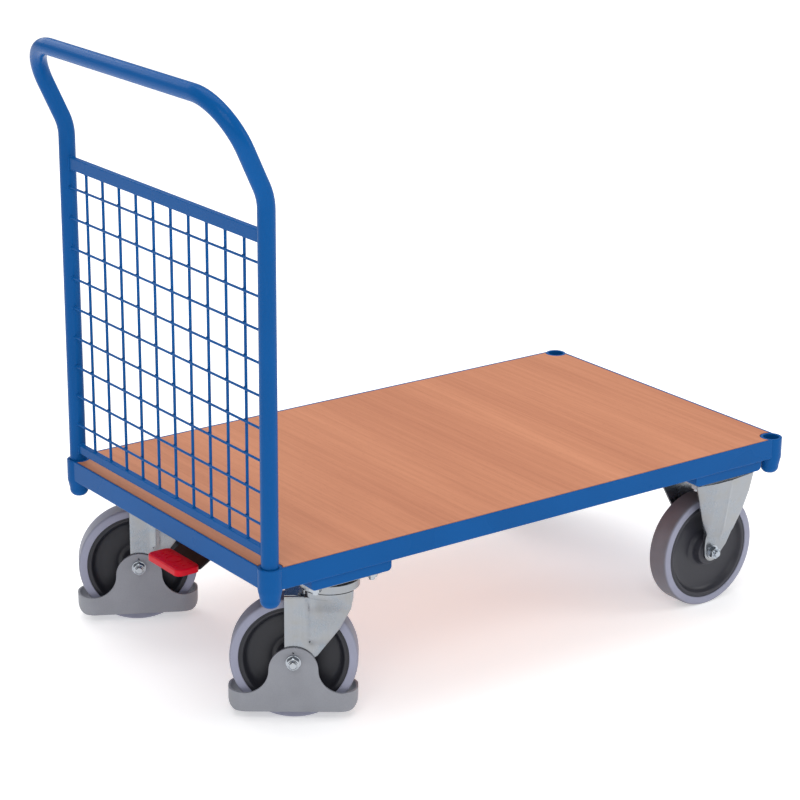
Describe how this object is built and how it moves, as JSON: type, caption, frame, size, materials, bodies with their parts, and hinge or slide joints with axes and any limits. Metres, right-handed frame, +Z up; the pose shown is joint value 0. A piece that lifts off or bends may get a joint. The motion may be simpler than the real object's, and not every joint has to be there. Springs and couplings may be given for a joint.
{
  "type": "platform truck",
  "caption": "Flatbed platform truck: steel frame, beech deck, plug-in wire mesh end wall with a bent push handle, swivel and fixed wheels and a foot brake.",
  "frame": {"origin": "middle of the deck board's top face, where the load stands", "axes": "+X from the handle end to the front, +Y to the left of somebody who pushes, +Z up"},
  "size_m": [1.1224, 0.6399, 1.0144],
  "materials": {
    "blue_paint": "gloss powder coat, RAL 5010 blue",
    "beech": "sealed beech plywood, fine grain across the truck",
    "zinc": "bright zinc plated pressed steel",
    "steel_balls": "polished hardened steel",
    "tyre_grey": "non-marking grey elastic rubber",
    "rim_grey": "dark grey moulded polyamide",
    "guard_grey": "mid grey moulded plastic, satin",
    "pedal_red": "red moulded plastic",
    "dark_steel": "black coated steel",
    "brake_rubber": "black rubber"
  },
  "bodies": {
    "truck": {"left_rail": "blue_paint", "right_rail": "blue_paint", "front_rail": "blue_paint", "rear_rail": "blue_paint", "rear_corner_sockets": "blue_paint", "front_corner_sockets": "blue_paint", "front_cross_channel": "blue_paint", "rear_cross_channel": "blue_paint", "handle_tube": "blue_paint", "top_crossbar": "blue_paint", "lower_crossbar": "blue_paint", "vertical_wires": "blue_paint", "horizontal_wires": "blue_paint", "deck_board": "beech", "board_screws": "zinc", "caster_bolts": "zinc", "caster_nuts": "zinc", "fixed_axle_bolts": "zinc", "fixed_axle_nuts": "zinc", "fixed_axle_sleeves": "zinc", "right_swivel_top_plate": "zinc", "right_kingpin": "zinc", "right_fixed_fork": "zinc", "left_swivel_top_plate": "zinc", "left_kingpin": "zinc", "left_fixed_fork": "zinc", "shaft_brackets": "dark_steel"},
    "right_caster": {"right_swivel_balls": "steel_balls", "right_swivel_fork": "zinc", "right_foot_guard": "guard_grey", "right_swivel_axle_bolt": "zinc", "right_swivel_axle_nut": "zinc", "right_swivel_axle_sleeve": "zinc"},
    "right_plunger": {"right_brake_plunger": "dark_steel", "right_brake_shoe": "brake_rubber"},
    "right_swivel_wheel": {"right_swivel_rim": "rim_grey", "right_swivel_tyre": "tyre_grey", "right_swivel_roller_bearing": "dark_steel"},
    "right_fixed_wheel": {"right_fixed_rim": "rim_grey", "right_fixed_tyre": "tyre_grey", "right_fixed_roller_bearing": "dark_steel"},
    "left_caster": {"left_swivel_balls": "steel_balls", "left_swivel_fork": "zinc", "left_foot_guard": "guard_grey", "left_swivel_axle_bolt": "zinc", "left_swivel_axle_nut": "zinc", "left_swivel_axle_sleeve": "zinc"},
    "left_plunger": {"left_brake_plunger": "dark_steel", "left_brake_shoe": "brake_rubber"},
    "left_swivel_wheel": {"left_swivel_rim": "rim_grey", "left_swivel_tyre": "tyre_grey", "left_swivel_roller_bearing": "dark_steel"},
    "left_fixed_wheel": {"left_fixed_rim": "rim_grey", "left_fixed_tyre": "tyre_grey", "left_fixed_roller_bearing": "dark_steel"},
    "brake_lever": {"brake_shaft": "dark_steel", "pedal_arm": "dark_steel", "pedal_tread": "pedal_red"}
  },
  "joints": [
    {"name": "right_swivel", "type": "hinge", "parent": "truck", "child": "right_caster", "pos_m": [-0.37, -0.238, -0.1], "axis": [0, 0, 1], "continuous": true},
    {"name": "right_swivel_wheel_spin", "type": "hinge", "parent": "right_caster", "child": "right_swivel_wheel", "pos_m": [-0.41387, -0.20601, -0.195], "axis": [0.5892, 0.808, 0], "continuous": true},
    {"name": "left_swivel", "type": "hinge", "parent": "truck", "child": "left_caster", "pos_m": [-0.37, 0.238, -0.1], "axis": [0, 0, 1], "continuous": true},
    {"name": "left_swivel_wheel_spin", "type": "hinge", "parent": "left_caster", "child": "left_swivel_wheel", "pos_m": [-0.41785, 0.26366, -0.195], "axis": [0.4726, 0.8813, 0], "continuous": true},
    {"name": "right_fixed_wheel_spin", "type": "hinge", "parent": "truck", "child": "right_fixed_wheel", "pos_m": [0.407, -0.238, -0.195], "axis": [0, 1, 0], "continuous": true},
    {"name": "left_fixed_wheel_spin", "type": "hinge", "parent": "truck", "child": "left_fixed_wheel", "pos_m": [0.407, 0.238, -0.195], "axis": [0, 1, 0], "continuous": true},
    {"name": "brake_pedal", "type": "hinge", "parent": "truck", "child": "brake_lever", "pos_m": [-0.35, 0, -0.031], "axis": [0, -1, 0], "range_deg": [0, 10]},
    {"name": "right_plunger_slide", "type": "slide", "parent": "truck", "child": "right_plunger", "axis": [0, 0, -1], "range_m": [0, 0.0035]},
    {"name": "left_plunger_slide", "type": "slide", "parent": "truck", "child": "left_plunger", "axis": [0, 0, -1], "range_m": [0, 0.0035]}
  ],
  "couplings": [
    {"joint": "right_plunger_slide", "follows": "brake_pedal", "m_per_rad": 0.02005},
    {"joint": "left_plunger_slide", "follows": "brake_pedal", "m_per_rad": 0.02005}
  ]
}
